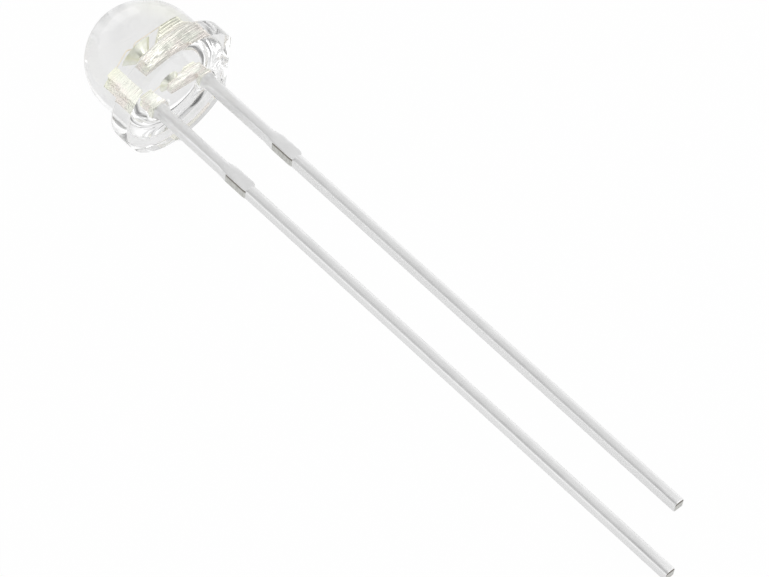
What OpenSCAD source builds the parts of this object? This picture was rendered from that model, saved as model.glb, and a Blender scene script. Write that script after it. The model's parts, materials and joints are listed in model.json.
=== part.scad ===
// Through-hole LED with a wide flange and a low domed lens, lying on its side as it comes to rest.
// The lamp is drawn upright, with its seating face at z = 0, its dome along +z and its cathode towards +x.
// lie_down() then turns it onto the plane that touches the flange's rim and both lead tips.

/* [Lens] */
// Radius of the lens barrel and of its dome
lens_r = 2.5; // [2:0.05:2.7]
// Overall height of the lens above the seating face
lens_h = 4.7; // [4.3:0.05:6]
// Radius of the flange
flange_r = 3; // [2.9:0.05:3.6]
// Thickness of the flange
flange_t = 1; // [0.6:0.05:1.4]
// Distance of the flange's cathode flat from the lens axis
flat_x = 2.5; // [2.2:0.05:2.7]
// Rounding of the flange's upper edge
flange_edge_r = 0.12; // [0.05:0.01:0.25]
// Fillet where the barrel rises out of the flange
barrel_root_r = 0.1; // [0.05:0.01:0.2]
// How far the epoxy creeps down each lead, below the seating face
meniscus_h = 0.3; // [0.1:0.05:0.5]

/* [Leads] */
// Distance between the two leads, centre to centre
lead_pitch = 2.54; // [2.3:0.01:2.8]
// Width of each lead across the pair, between its sheared sides
lead_w = 0.5; // [0.4:0.01:0.55]
// Thickness of the sheet that both leads are stamped from
sheet_t = 0.5; // [0.4:0.01:0.55]
// Length of the cathode lead below the seating face
cathode_l = 27; // [15:0.5:28]
// Length of the anode lead below the seating face
anode_l = 29; // [28:0.5:32]
// Rounding that the stamping die rolls onto each lead's upper edges
lead_roll_r = 0.1; // [0.05:0.01:0.14]
// Smaller rounding of the lower edges, where the punch leaves the sheet
lead_burr_r = 0.03; // [0.02:0.005:0.05]
// Chamfer round the cut end of each lead
tip_chamfer = 0.06; // [0.02:0.01:0.1]

/* [Tie bar stubs] */
// Distance from the seating face to the far end of each stub
stub_end = 5.4; // [4:0.1:8]
// Length of each stub along its lead
stub_l = 1.6; // [1.2:0.1:2.5]
// Length of the slope at the stub's near end
stub_taper_l = 0.45; // [0.2:0.05:0.8]
// How far each stub stands out on its cathode side
stub_out = 0.07; // [0.03:0.01:0.2]
// How far each stub stands out on its anode side
stub_in = 0.03; // [0.02:0.01:0.1]

/* [Blade and reflector cup] */
// Height of the cup's rim above the seating face
cup_rim_z = 2.36; // [2.3:0.02:2.6]
// Inner radius of the cup at its rim
cup_rim_r = 0.43; // [0.4:0.01:0.46]
// Inner radius of the cup at its floor
cup_floor_r = 0.24; // [0.22:0.01:0.26]
// Depth of the cup
cup_depth = 0.32; // [0.22:0.01:0.34]
// Width of the cup's flat rim
cup_rim_w = 0.06; // [0.04:0.01:0.1]
// Height of the cone that is headed out of the blade round the cup
cup_cone_h = 0.46; // [0.42:0.02:0.6]
// Radius of that cone at its foot
cup_foot_r = 0.23; // [0.2:0.01:0.24]
// Height at which the blade's lower edge leaves the cathode lead
blade_foot_z = 1; // [0.6:0.05:1.1]
// Height at which that edge reaches the blade's free side
blade_heel_z = 1.12; // [1.1:0.02:1.4]
// Distance of the blade's free side beyond the lens axis
blade_reach = 0.25; // [0.2:0.01:0.4]
// Bevel between the blade's free side and its top
blade_bevel = 0.05; // [0.02:0.01:0.1]

/* [Bonding pads] */
// Height of the cathode's pad above the cup's rim
pad_rise = 0.12; // [0.05:0.01:0.15]
// Depth of the anode's pad below the cup's rim
post_drop = 0.06; // [0.02:0.01:0.1]
// Space between the cup's cone and the foot of the cathode's shoulder
shoulder_gap = 0.2; // [0.15:0.01:0.25]
// Lean of the shoulder's inner side away from the cup
shoulder_lean = 0.42; // [0.3:0.01:0.45]
// Step that narrows the shoulder on its outer side
shoulder_step = 0.2; // [0.1:0.01:0.25]
// Space between the anode's pad and the cup's rim
post_gap = 0.56; // [0.5:0.01:0.6]
// Height of the straight side under the anode's pad
post_head_h = 0.45; // [0.2:0.05:0.6]
// Height of the slope below that side
post_slope_h = 0.3; // [0.15:0.05:0.5]

/* [Chip and phosphor] */
// Side of the square chip
chip_w = 0.26; // [0.2:0.01:0.27]
// Thickness of the chip
chip_t = 0.1; // [0.08:0.01:0.12]
// Thickness of the die attach under the chip
attach_t = 0.02; // [0.01:0.005:0.03]
// How far the die attach spreads past the chip's corners
attach_spread = 0.02; // [0.01:0.005:0.03]
// Height of the phosphor's crown above the cup's rim
phosphor_crown = 0.12; // [0.05:0.01:0.15]

/* [Bond wires] */
// Diameter of each gold wire
wire_d = 0.03; // [0.02:0.005:0.035]
// Radius of the flattened ball on the chip, and of the stitch at the wire's far end
bond_r = 0.04; // [0.03:0.005:0.05]
// Height of the ball and of the stitch
bond_h = 0.03; // [0.02:0.005:0.04]
// Distance of each ball from the chip's middle
bond_x = 0.06; // [0.05:0.01:0.07]
// Straight rise of each wire above its ball
wire_rise = 0.3; // [0.26:0.01:0.4]
// Radius of the bend at the top of each wire
wire_bend_r = 0.12; // [0.08:0.01:0.16]
// Distance of each stitch from the outer side of its lead
stitch_inset = 0.35; // [0.3:0.01:0.4]

/* [Hidden] */

// Facet counts of round shapes, and an overlap that keeps cuts clean
fine = 96;
small = 48;
over = 0.5;

epoxy_colour = [0.93, 0.94, 0.95, 0.35];
tin_colour = [0.78, 0.78, 0.79];
silver_colour = [0.72, 0.72, 0.7];
chip_colour = [0.55, 0.62, 0.66];
phosphor_colour = [0.95, 0.93, 0.5];
gold_colour = [0.9, 0.72, 0.28];

// The dome is a half ball, so its centre stands one radius below the top of the lens
dome_z = lens_h - lens_r;
lead_x = lead_pitch / 2;
half_w = lead_w / 2;
half_t = sheet_t / 2;
lead_outer_x = lead_x + half_w;
// The meniscus ends on the corners of the lead
lead_corner_r = norm([half_w, half_t]);

cup_floor_z = cup_rim_z - cup_depth;
cup_outer_r = cup_rim_r + cup_rim_w;
blade_top_z = cup_rim_z - cup_cone_h;
attach_r = chip_w / sqrt(2) + attach_spread;
chip_z = cup_floor_z + attach_t;
bond_z = chip_z + chip_t;
pad_z = cup_rim_z + pad_rise;
post_z = cup_rim_z - post_drop;
post_inner_x = cup_outer_r + post_gap;
shoulder_foot_x = cup_foot_r + shoulder_gap;
stitch_x = lead_outer_x - stitch_inset;

// The ball whose cap crowns the phosphor: it passes through the cup's rim
crown_ball_r = (cup_rim_r ^ 2 + phosphor_crown ^ 2) / (2 * phosphor_crown);

// ---- The plane that the lamp comes to rest on ----
// Its normal, pointing down into the plane, is proportional to [rest_k, rest_v, -1].
// The longer anode lead rolls the lamp a little, by rest_k, and the flange lifts the lens end.
// rest_v solves: flange_r * norm([rest_k, rest_v]) = rest_q + half_t * rest_v
tip_edge_x = half_w - lead_burr_r;
rest_k = (anode_l - cathode_l) / lead_pitch;
rest_q = rest_k * (lead_x + tip_edge_x) + cathode_l - tip_chamfer;
rest_a = flange_r ^ 2 - half_t ^ 2;
rest_b = rest_q * half_t;
rest_c = (flange_r * rest_k) ^ 2 - rest_q ^ 2;
rest_v = (rest_b + sqrt(rest_b ^ 2 - rest_a * rest_c)) / rest_a;

// The row's axes, written in the lamp's own frame: +Z up, +X level and away from the dome
down = [rest_k, rest_v, -1] / norm([rest_k, rest_v, -1]);
row_z = -down;
away = [0, 0, -1] - ([0, 0, -1] * row_z) * row_z;
row_x = away / norm(away);
row_y = cross(row_z, row_x);
// Height of the seating face's middle above the plane
rest_z = flange_r * norm([down.x, down.y]);

// The row's origin is under the middle of the lamp's box, so these give how far the lamp reaches each way
flat_half_y = sqrt(flange_r ^ 2 - flat_x ^ 2);
end_w = half_w - tip_chamfer;
end_t = half_t - tip_chamfer;
reach_tip = max([lead_x - end_w, -end_t, -cathode_l] * row_x, [-lead_x - end_w, -end_t, -anode_l] * row_x);
reach_dome = lens_r - dome_z * row_x.z;
reach_flat = max([flat_x, flat_half_y, 0] * row_y, [flat_x, -flat_half_y, 0] * row_y);
reach_round = flange_r * norm([row_y.x, row_y.y]);
middle_x = (reach_tip - reach_dome) / 2;
middle_y = (reach_flat - reach_round) / 2;

// Turns what is drawn upright onto the plane that the lamp rests on
module lie_down() {
  multmatrix([
    [row_x.x, row_x.y, row_x.z, -middle_x],
    [row_y.x, row_y.y, row_y.z, -middle_y],
    [row_z.x, row_z.y, row_z.z, rest_z],
    [0, 0, 0, 1]
  ])
    children();
}

// ---- Lens ----
// Half section of the flange, with its upper edge rounded
module flange_section() {
  difference() {
    square([flange_r, flange_t]);
    translate([flange_r - flange_edge_r, flange_t - flange_edge_r])
      difference() {
        square(flange_edge_r + over);
        circle(flange_edge_r, $fn = small);
      }
  }
}

// Half section of the fillet between barrel and flange
module root_section() {
  translate([lens_r, flange_t])
    difference() {
      translate([-over, -over]) square(barrel_root_r + over);
      translate([barrel_root_r, barrel_root_r]) circle(barrel_root_r, $fn = small);
    }
}

// The whole outer form: flange, barrel and dome
module lens_form() {
  difference() {
    union() {
      rotate_extrude($fn = fine) flange_section();
      rotate_extrude($fn = fine) root_section();
      cylinder(dome_z, r = lens_r, $fn = fine);
      intersection() {
        translate([0, 0, dome_z]) sphere(lens_r, $fn = fine);
        translate([0, 0, dome_z]) cylinder(lens_r + over, r = lens_r + over, $fn = fine);
      }
    }
    translate([flat_x, -flange_r - over, -over])
      cube([flange_r, 2 * (flange_r + over), flange_t + barrel_root_r + over]);
  }
}

// The epoxy that creeps down a lead: a cone whose side is hollowed to a quarter round
module meniscus() {
  rotate([180, 0, 0])
    rotate_extrude($fn = small)
      difference() {
        translate([0, -over]) square([lead_corner_r + meniscus_h, meniscus_h + over]);
        translate([lead_corner_r + meniscus_h, meniscus_h]) circle(meniscus_h, $fn = small);
      }
}

module lens_body() {
  color(epoxy_colour)
    lie_down()
      difference() {
        union() {
          lens_form();
          for (side = [-1, 1]) translate([side * lead_x, 0, 0]) meniscus();
        }
        cathode_frame();
        anode_frame();
        cup_filling();
        wire(-1);
        wire(1);
      }
}

// ---- Leads ----
// Cross-section of a lead, with its upper edges, towards -y, rounded more than its lower ones
function lead_outline() = [
  for (corner = [0:3], step = [0:3])
    let (
      angle = 90 * corner + 30 * step,
      sx = corner == 0 || corner == 3 ? 1 : -1,
      sy = corner < 2 ? 1 : -1,
      edge_r = sy > 0 ? lead_burr_r : lead_roll_r
    )
      [
        sx * (half_w - edge_r) + edge_r * cos(angle),
        sy * (half_t - edge_r) + edge_r * sin(angle)
      ]
];

// Extrudes a side outline, drawn in x and z, to the thickness of the sheet
module stamped() {
  rotate([90, 0, 0])
    linear_extrude(sheet_t, center = true)
      children();
}

// The straight length of a lead below the seating face, with its cut end chamfered, and up to `top` inside the lens
module lead_bar(length, top) {
  intersection() {
    translate([0, 0, -length]) linear_extrude(length + top) polygon(lead_outline());
    rotate([90, 0, 0])
      linear_extrude(sheet_t + over, center = true)
        polygon([
          [-end_w, -length], [end_w, -length], [half_w, -length + tip_chamfer],
          [half_w, top], [-half_w, top], [-half_w, -length + tip_chamfer]
        ]);
    rotate([90, 0, 90])
      linear_extrude(lead_w + over, center = true)
        polygon([
          [-end_t, -length], [end_t, -length], [half_t, -length + tip_chamfer],
          [half_t, top], [-half_t, top], [-half_t, -length + tip_chamfer]
        ]);
  }
}

// What the trimming die leaves of the tie bar: sloped towards the lens and cut square towards the tip
module stub() {
  near_z = stub_l - stub_end;
  stamped()
    polygon([
      [half_w + stub_out, -stub_end], [half_w + stub_out, near_z - stub_taper_l],
      [half_w, near_z], [-half_w, near_z],
      [-half_w - stub_in, near_z - stub_taper_l], [-half_w - stub_in, -stub_end]
    ]);
}

// The blade that carries the cup over to the lens axis, and the shoulder that stands up beside the cup
module blade() {
  shoulder_x = lead_outer_x - shoulder_step;
  stamped()
    polygon([
      [lead_outer_x, 0], [lead_outer_x, blade_top_z], [shoulder_x, blade_top_z + shoulder_step],
      [shoulder_x, pad_z], [shoulder_foot_x + shoulder_lean, pad_z], [shoulder_foot_x, blade_top_z],
      [-blade_reach + blade_bevel, blade_top_z], [-blade_reach, blade_top_z - blade_bevel],
      [-blade_reach, blade_heel_z], [lead_x - half_w, blade_foot_z], [lead_x - half_w, 0]
    ]);
}

// The cone round the cup, which reaches down into the blade
module cup_cone() {
  translate([0, 0, blade_top_z]) {
    cylinder(cup_cone_h, r1 = cup_foot_r, r2 = cup_outer_r, $fn = small);
    translate([0, 0, -cup_foot_r]) cylinder(cup_foot_r, r = cup_foot_r, $fn = small);
  }
}

// Half section of the cup's inside, drawn on past the rim
module cup_section() {
  slope = (cup_rim_r - cup_floor_r) / cup_depth;
  translate([0, cup_floor_z])
    polygon([
      [0, 0], [cup_floor_r, 0],
      [cup_rim_r + slope * over, cup_depth + over], [0, cup_depth + over]
    ]);
}

// Cathode lead frame: lead, stub, blade, shoulder and cup, stamped and headed from one strip
module cathode_frame() {
  difference() {
    union() {
      translate([lead_x, 0, 0]) {
        lead_bar(cathode_l, over);
        stub();
      }
      blade();
      cup_cone();
    }
    rotate_extrude($fn = small) cup_section();
  }
}

// Anode lead frame: lead, stub and the post, which ends in a pad for the wire
module anode_frame() {
  translate([-lead_x, 0, 0]) {
    lead_bar(anode_l, over);
    stub();
  }
  head_z = post_z - post_head_h;
  stamped()
    polygon([
      [-lead_outer_x, 0], [-lead_outer_x, post_z], [-post_inner_x, post_z],
      [-post_inner_x, head_z], [half_w - lead_x, head_z - post_slope_h], [half_w - lead_x, 0]
    ]);
}

module cathode_lead() { color(tin_colour) lie_down() cathode_frame(); }

module anode_lead() { color(tin_colour) lie_down() anode_frame(); }

// ---- What the cup holds ----
module attach() { translate([0, 0, cup_floor_z]) cylinder(attach_t, r = attach_r, $fn = small); }

module chip() {
  translate([-chip_w / 2, -chip_w / 2, chip_z]) cube([chip_w, chip_w, chip_t]);
}

// Everything in the cup, up to the crown that the phosphor's resin forms above the rim
module cup_filling() {
  rotate_extrude($fn = small)
    intersection() {
      cup_section();
      translate([0, cup_rim_z + phosphor_crown - crown_ball_r]) circle(crown_ball_r, $fn = fine);
    }
}

// Phosphor in its clear resin, round the chip and the feet of the wires
module phosphor() {
  difference() {
    cup_filling();
    attach();
    chip();
    wire(-1);
    wire(1);
  }
}

module die_attach() { color(silver_colour) lie_down() attach(); }

module led_chip() { color(chip_colour) lie_down() chip(); }

module phosphor_fill() { color(phosphor_colour) lie_down() phosphor(); }

// ---- Bond wires ----
// A ball hardly wider than the wire, which makes one solid of two stretches that meet end to end
module knuckle() { sphere(wire_d / 2 * 1.04, $fn = small); }

// A wire leaves its ball straight up, bends over and runs straight down to the stitch.
// It is drawn towards +x, and mirrored for the anode side.
module wire(side) {
  wire_r = wire_d / 2;
  bend_x = bond_x + wire_bend_r;
  bend_z = bond_z + bond_h + wire_rise;
  landing_z = side < 0 ? post_z : pad_z;
  run_x = stitch_x - bend_x;
  run_z = landing_z + wire_r - bend_z;
  span = norm([run_x, run_z]);
  // Where the straight run leaves the bend, as an angle round the bend's centre
  leave = atan2(run_z, run_x) + acos(wire_bend_r / span);
  mirror([side < 0 ? 1 : 0, 0, 0]) {
    translate([bond_x, 0, bond_z]) cylinder(bond_h, r = bond_r, $fn = small);
    translate([bond_x, 0, bond_z]) cylinder(bond_h + wire_rise, r = wire_r, $fn = small);
    translate([bond_x, 0, bend_z]) knuckle();
    translate([bend_x, 0, bend_z]) {
      rotate([90, 0, 0])
        rotate([0, 0, leave])
          rotate_extrude(angle = 180 - leave, $fn = fine)
            translate([wire_bend_r, 0]) circle(wire_r, $fn = small);
      rotate([0, -leave, 0])
        translate([wire_bend_r, 0, 0]) {
          knuckle();
          rotate([180, 0, 0])
            cylinder(sqrt(span ^ 2 - wire_bend_r ^ 2), r = wire_r, $fn = small);
        }
    }
    translate([stitch_x, 0, landing_z]) cylinder(bond_h, r = bond_r, $fn = small);
  }
}

module anode_bond_wire() { color(gold_colour) lie_down() wire(-1); }

module cathode_bond_wire() { color(gold_colour) lie_down() wire(1); }

lens_body();
cathode_lead();
anode_lead();
die_attach();
led_chip();
phosphor_fill();
anode_bond_wire();
cathode_bond_wire();
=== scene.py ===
# %% [markdown]
# # A clear through-hole LED, lying on its side
# The real thing is a lamp about five millimetres across: clear epoxy cast round a stamped lead frame, with
# two square tinned leads that come out of a flat flange. This script dresses the solid model of that lamp.
# Each cell makes one piece or one finish and says why it is made that way. Lengths are written in
# millimetres and become metres only when a mesh is placed.

# %% The fixed frame and the solid model
import json
import math

import bmesh
import bpy
from mathutils import Matrix, Vector


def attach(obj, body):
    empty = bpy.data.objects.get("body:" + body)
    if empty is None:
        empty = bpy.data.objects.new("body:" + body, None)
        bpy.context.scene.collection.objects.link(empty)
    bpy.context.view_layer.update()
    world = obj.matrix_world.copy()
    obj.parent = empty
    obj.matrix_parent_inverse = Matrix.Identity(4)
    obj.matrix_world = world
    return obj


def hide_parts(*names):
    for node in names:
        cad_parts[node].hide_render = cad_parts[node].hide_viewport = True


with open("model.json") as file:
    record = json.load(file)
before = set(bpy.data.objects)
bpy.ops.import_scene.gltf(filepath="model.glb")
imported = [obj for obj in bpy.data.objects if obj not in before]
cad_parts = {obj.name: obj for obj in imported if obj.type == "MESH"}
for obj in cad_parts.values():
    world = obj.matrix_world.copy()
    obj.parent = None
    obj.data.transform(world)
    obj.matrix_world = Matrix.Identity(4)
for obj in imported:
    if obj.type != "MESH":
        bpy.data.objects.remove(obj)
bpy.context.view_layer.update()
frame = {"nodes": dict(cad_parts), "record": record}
nodes = frame["nodes"]
MM = 0.001
print("nodes:", sorted(nodes))

# %% [markdown]
# ## The lamp's own frame
# The lamp lies on a slope, because its flange is wider than its leads are thick. Its pieces are easier to
# make upright, with the lens axis along z and the cathode towards x, and to turn onto the slope at the end.
# The seating face gives the origin and the axis, and the two stubs, which are alike, give the x direction.

# %% The matrix from upright millimetres to the row's metres
mounts = {m["name"]: m for m in frame["record"]["mounts"]}
seat_point = Vector(mounts["seating_face"]["pos_m"])
lens_axis = -Vector(mounts["seating_face"]["axis"]).normalized()
LENS_R = mounts["lens_barrel"]["dims"]["r_mm"]
# Heights from the seating face, in millimetres, between which a lead has only the corners of its stub.
STUB_BAND = (-5.5, -3.7)


def stub_middle(node):
    """Mean of a lead's corners between the two ends of its stub."""
    found = []
    for corner in nodes[node].data.vertices:
        height = (corner.co - seat_point).dot(lens_axis) / MM
        if STUB_BAND[0] < height < STUB_BAND[1]:
            found.append(corner.co)
    return sum(found, Vector()) / len(found)


across = stub_middle("cathode_lead") - stub_middle("anode_lead")
across = across - lens_axis * across.dot(lens_axis)
PITCH = across.length / MM
across.normalize()
LAMP = Matrix.Translation(seat_point) @ (
    Matrix((across, lens_axis.cross(across), lens_axis)).transposed() * MM
).to_4x4()
LAMP[3][3] = 1.0
INTO_LAMP = LAMP.inverted()
print("lead pitch, mm:", round(PITCH, 3))
print("axis slope, degrees:", round(math.degrees(math.asin(lens_axis.z)), 2))

# %% [markdown]
# ## The camera
# A long lens from above and from the side of the anode lead, as for a catalogue picture. The aim is a point
# near the middle of the leads, and distance and focal length together set the perspective. Light crosses
# many faces of the clear lens before it comes out, so its paths are allowed to be long.

# %% Camera
AIM = Vector((0.222, -0.297, 2.0)) * MM
AZIMUTH, ELEVATION, ROLL = 48.08, 52.23, 1.91
DISTANCE = 196.29 * MM
FOCAL, SENSOR_WIDTH = 234.07, 36.0
NEAREST, FARTHEST = 0.01, 10.0
BOUNCES = 32

camera = bpy.data.objects.new("camera", bpy.data.cameras.new("camera"))
bpy.context.scene.collection.objects.link(camera)
bpy.context.scene.camera = camera
az, el = math.radians(AZIMUTH), math.radians(ELEVATION)
looking = Vector((-math.sin(az) * math.cos(el), math.cos(az) * math.cos(el), -math.sin(el)))
camera.location = AIM - looking * DISTANCE
turn = looking.to_track_quat("-Z", "Y").to_matrix() @ Matrix.Rotation(math.radians(-ROLL), 3, "Z")
camera.rotation_euler = turn.to_euler()
camera.data.lens = FOCAL
camera.data.sensor_width = SENSOR_WIDTH
camera.data.clip_start, camera.data.clip_end = NEAREST, FARTHEST
for paths in ("max_bounces", "transmission_bounces", "glossy_bounces"):
    setattr(bpy.context.scene.cycles, paths, BOUNCES)
print("camera at, mm:", [round(x / MM, 1) for x in camera.location])

# %% [markdown]
# ## Colours and nodes
# Colours are written as sRGB hex values and turned to linear light once, here. One helper adds a node, sets
# its values and makes its links, so a material reads as a list of steps.

# %% Helpers for materials


def hex_colour(text):
    """Linear RGBA from a hex value such as 'C8C8C8'."""
    channels = [int(text[i : i + 2], 16) / 255 for i in (0, 2, 4)]
    return [c / 12.92 if c <= 0.04045 else ((c + 0.055) / 1.055) ** 2.4 for c in channels] + [1.0]


def add(tree, kind, settings=None, **inputs):
    """Adds a node. settings are its properties, and inputs are its sockets' values or what feeds them.

    A socket goes by its name with _ for a space, or by its number, as i0 or i1, where names repeat.
    """
    node = tree.nodes.new(kind)
    for name, value in (settings or {}).items():
        setattr(node, name, value)
    for name, value in inputs.items():
        key = int(name[1:]) if name[0] == "i" and name[1:].isdigit() else name.replace("_", " ")
        socket = node.inputs[key]
        if isinstance(value, bpy.types.NodeSocket):
            tree.links.new(value, socket)
        else:
            socket.default_value = value
    return node


def new_material(name):
    """A material with an empty tree and its output node."""
    material = bpy.data.materials.new(name)
    material.use_nodes = True
    material.node_tree.nodes.clear()
    output = material.node_tree.nodes.new("ShaderNodeOutputMaterial")
    return material, material.node_tree, output


# %% [markdown]
# ## The studio
# The lamp lies on a white sheet in a pale room with two softboxes. Clear plastic and metal have hardly a
# colour of their own, so what shows in them is the room, and the room is worked out as carefully as a
# finish.

# %% Floor
FLOOR_HALF = 400 * MM
floor_mesh = bpy.data.meshes.new("floor")
corners = [(x * FLOOR_HALF, y * FLOOR_HALF, 0) for x, y in ((-1, -1), (1, -1), (1, 1), (-1, 1))]
floor_mesh.from_pydata(corners, [], [(0, 1, 2, 3)])
floor = bpy.data.objects.new("floor", floor_mesh)
bpy.context.scene.collection.objects.link(floor)
print("sheet, mm across:", round(2 * FLOOR_HALF / MM))

# %% [markdown]
# The sheet is uncoated white paper, matt and without a grain that shows. It is partly plain light, most of
# all where it is looked at straight, so that it stays white and still takes the lamp's shadow. Two soft
# ovals of painted light and shade are on it. One is a painted pool of the yellow-green light that the lens
# gathers under its dome, and the other is a painted contact shadow where the flange touches the sheet. Both
# come from light that bends in the lens. The epoxy lets shadow rays pass straight through, which leaves them
# out, so they are painted into the sheet instead.

# %% Material: white paper
# Each oval's middle and half axes in millimetres, and the share of them within which it is full.
# The first oval is a painted pool of light, and the second is a painted contact shadow.
GATHERED = ((-15.8, 0.7), (1.2, 1.0), 0.2)
CONTACT_SHADOW_OVAL = ((-12.6, 0.2), (0.45, 0.4), 0.3)
PAPER, GATHERED_LIGHT, CONTACT_SHADOW_GREY = "F4F4F4", "F6F7E4", "505050"
# How much of the sheet is plain light, for each kind of ray that meets it.
GLOW = {"Is Camera Ray": 0.98, "Is Glossy Ray": 0.6, "Is Transmission Ray": 0.2}

paper, tree, output = new_material("white paper with painted light and shade")


def oval(middle, reach, inner):
    """Socket that is 1 inside an oval on the sheet and falls softly to 0 at its rim."""
    place = add(tree, "ShaderNodeTexCoord").outputs["Object"]
    around = add(
        tree, "ShaderNodeMapping", {"vector_type": "TEXTURE"}, Vector=place,
        Location=[x * MM for x in middle] + [0], Scale=[x * MM for x in reach] + [1],
    )
    away = add(tree, "ShaderNodeVectorMath", {"operation": "LENGTH"}, i0=around.outputs[0]).outputs["Value"]
    return add(
        tree, "ShaderNodeMapRange", {"interpolation_type": "SMOOTHSTEP"}, Value=away,
        From_Min=1.0, From_Max=inner,
    ).outputs["Result"]


# Painted pool of the lens's yellow-green light, mixed into the paper's colour.
paper_with_painted_light = add(
    tree, "ShaderNodeMix", {"data_type": "RGBA"}, i0=oval(*GATHERED),
    i6=hex_colour(PAPER), i7=hex_colour(GATHERED_LIGHT),
).outputs[2]
# Painted contact shadow under the flange: it darkens the paper and takes its glow away.
painted_contact_shadow = oval(*CONTACT_SHADOW_OVAL)
colour = add(
    tree, "ShaderNodeMix", {"data_type": "RGBA"}, i0=painted_contact_shadow, i6=paper_with_painted_light, i7=hex_colour(CONTACT_SHADOW_GREY),
).outputs[2]
diffuse = add(tree, "ShaderNodeBsdfDiffuse", Color=colour)
white = add(tree, "ShaderNodeEmission", Color=hex_colour("FFFFFF"), Strength=1.0)
rays = add(tree, "ShaderNodeLightPath")
glow = 0.0
for ray, share in GLOW.items():
    scaled = add(tree, "ShaderNodeMath", {"operation": "MULTIPLY"}, i0=rays.outputs[ray], i1=share).outputs[0]
    glow = add(tree, "ShaderNodeMath", {"operation": "MAXIMUM"}, i0=glow, i1=scaled).outputs[0]
# Inside the painted contact shadow the sheet doesn't glow.
outside_contact_shadow = add(tree, "ShaderNodeMath", {"operation": "SUBTRACT"}, i0=1.0, i1=painted_contact_shadow).outputs[0]
glow = add(tree, "ShaderNodeMath", {"operation": "MULTIPLY"}, i0=glow, i1=outside_contact_shadow).outputs[0]
both = add(tree, "ShaderNodeMixShader", Fac=glow, i1=diffuse.outputs[0], i2=white.outputs[0])
tree.links.new(both.outputs[0], output.inputs["Surface"])
floor_mesh.materials.append(paper)
print("material:", paper.name)

# %% [markdown]
# The room has bright walls and a greyer ceiling, which give the dome its soft grey top. Four darker patches
# stand for the ceiling over the lamp and for dark things round it. The first greys the leads and the dome,
# the second and third shade the cup, and the fourth, small and nearly black, is what the flange's edge
# passes on as a black stroke beside the seating face. That one shows only to rays that have been through
# the epoxy, because on the duller solder of real leads so small a thing leaves no line.

# %% World: a pale grey room, white where the camera sees it
world = bpy.data.worlds.new("studio")
bpy.context.scene.world = world
world.use_nodes = True
tree = world.node_tree
tree.nodes.clear()
WALL_LEVEL, CEILING_LEVEL = 1.25, 0.74
WALL_TOP, CEILING_FROM = 0.3, 0.75
ROOM_COLOUR = "F8F8F8"
# Each patch: the way to it, the cosines to that way at which it begins and is full, how much of the light
# it takes away, and whether it shows only through the epoxy.
DARK_PATCHES = (
    ((0.2, -0.22, 0.95), 0.84, 0.95, 0.6, False),
    ((0.66, -0.35, 0.65), 0.95, 0.985, 0.6, False),
    ((0.85, -0.45, 0.3), 0.93, 0.98, 0.7, False),
    ((-0.25, -0.5, 0.83), 0.975, 0.992, 0.95, True),
)
place = add(tree, "ShaderNodeTexCoord")
height = add(tree, "ShaderNodeSeparateXYZ", Vector=place.outputs["Generated"])
level = add(
    tree, "ShaderNodeMapRange", {"interpolation_type": "SMOOTHSTEP"}, Value=height.outputs["Z"],
    From_Min=WALL_TOP, From_Max=CEILING_FROM, To_Min=WALL_LEVEL, To_Max=CEILING_LEVEL,
)
rays = add(tree, "ShaderNodeLightPath")
shade = level.outputs["Result"]
for direction, outer, inner, share, lens_only in DARK_PATCHES:
    facing = add(
        tree, "ShaderNodeVectorMath", {"operation": "DOT_PRODUCT"},
        i0=place.outputs["Generated"], i1=Vector(direction).normalized(),
    )
    patch = add(
        tree, "ShaderNodeMapRange", {"interpolation_type": "SMOOTHSTEP"}, Value=facing.outputs["Value"],
        From_Min=outer, From_Max=inner, To_Min=0.0, To_Max=share,
    ).outputs["Result"]
    if lens_only:
        through = rays.outputs["Is Transmission Ray"]
        patch = add(tree, "ShaderNodeMath", {"operation": "MULTIPLY"}, i0=patch, i1=through).outputs[0]
    left = add(tree, "ShaderNodeMath", {"operation": "SUBTRACT"}, i0=1.0, i1=patch).outputs[0]
    shade = add(tree, "ShaderNodeMath", {"operation": "MULTIPLY"}, i0=shade, i1=left).outputs[0]
room = add(tree, "ShaderNodeBackground", Color=hex_colour(ROOM_COLOUR), Strength=shade)
seen = add(tree, "ShaderNodeBackground", Color=hex_colour("FFFFFF"), Strength=1.0)
both = add(
    tree, "ShaderNodeMixShader", Fac=rays.outputs["Is Camera Ray"], i1=room.outputs[0], i2=seen.outputs[0],
)
tree.links.new(both.outputs[0], add(tree, "ShaderNodeOutputWorld").inputs["Surface"])
print("dark patches in the room:", len(DARK_PATCHES))

# %% [markdown]
# One softbox stands beyond the dome's end and lights the frame through the lens. The other hangs over the
# leads on the far side, where the curved tops of the metal throw its light towards the viewer.

# %% Lights


def softbox(name, place, size, watts):
    """A rectangular area light that faces the lamp, with its place and size in millimetres."""
    light = bpy.data.lights.new(name, "AREA")
    light.shape = "RECTANGLE"
    light.size, light.size_y = (s * MM for s in size)
    light.energy = watts
    holder = bpy.data.objects.new(name, light)
    bpy.context.scene.collection.objects.link(holder)
    holder.location = Vector(place) * MM
    holder.rotation_euler = (-holder.location).to_track_quat("-Z", "Y").to_euler()
    return holder


softbox("end softbox", (-300, 60, 100), (240, 140), 0.07)
softbox("key softbox", (120, 140, 280), (140, 140), 0.12)
print("lights:", [light.name for light in bpy.data.lights])

# %% [markdown]
# ## Patterns in the lamp's own millimetres
# The lamp lies askew, but its finishes follow its own axes: drawing lines run along a lead, and the silver
# stops at a height above the seating face. A Mapping node turns Object coordinates, which are metres on the
# sheet, into the lamp's upright millimetres.

# %% Helper: lamp coordinates


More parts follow.
